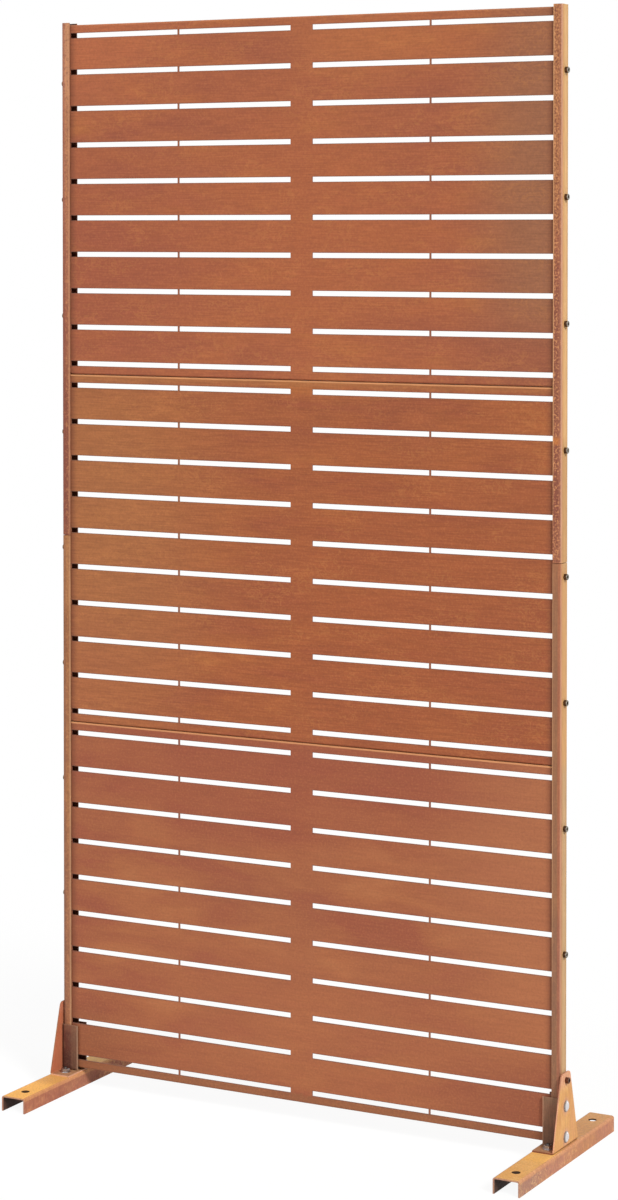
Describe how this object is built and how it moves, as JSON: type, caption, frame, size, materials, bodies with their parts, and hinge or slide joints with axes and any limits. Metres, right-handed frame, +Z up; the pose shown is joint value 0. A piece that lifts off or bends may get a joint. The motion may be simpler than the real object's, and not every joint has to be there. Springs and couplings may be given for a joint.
{
  "type": "garden privacy screen",
  "caption": "Free-standing slatted privacy screen: slotted weathering-steel trays stacked between channel posts on bolted bracket feet.",
  "frame": {"origin": "on the ground, midway between the two feet and below the posts", "axes": "+X along the screen to the right seen from the front, +Y to the open back of the trays, +Z up"},
  "size_m": [0.969, 0.386, 1.8653],
  "materials": {
    "tray_steel": "matte rust patina",
    "post_steel": "matte rust patina",
    "clamp_steel": "matte rust patina",
    "bracket_steel": "matte rust patina",
    "foot_steel": "matte rust patina",
    "dark_screw": "dark bronze coating, satin",
    "zinc": "bright zinc plating"
  },
  "bodies": {
    "root": {"bottom_panel": "tray_steel", "middle_panel": "tray_steel", "top_panel": "tray_steel", "left_upper_post": "post_steel", "left_lower_post": "post_steel", "left_post_clamp": "clamp_steel", "left_bracket": "bracket_steel", "left_foot": "foot_steel", "left_side_screws": "dark_screw", "left_side_nuts": "zinc", "right_upper_post": "post_steel", "right_lower_post": "post_steel", "right_post_clamp": "clamp_steel", "right_bracket": "bracket_steel", "right_foot": "foot_steel", "right_side_screws": "dark_screw", "right_side_nuts": "zinc", "bracket_screws": "dark_screw", "coach_bolts": "zinc", "coach_nuts": "zinc", "base_bolts": "zinc", "base_nuts": "zinc"}
  },
  "joints": []
}
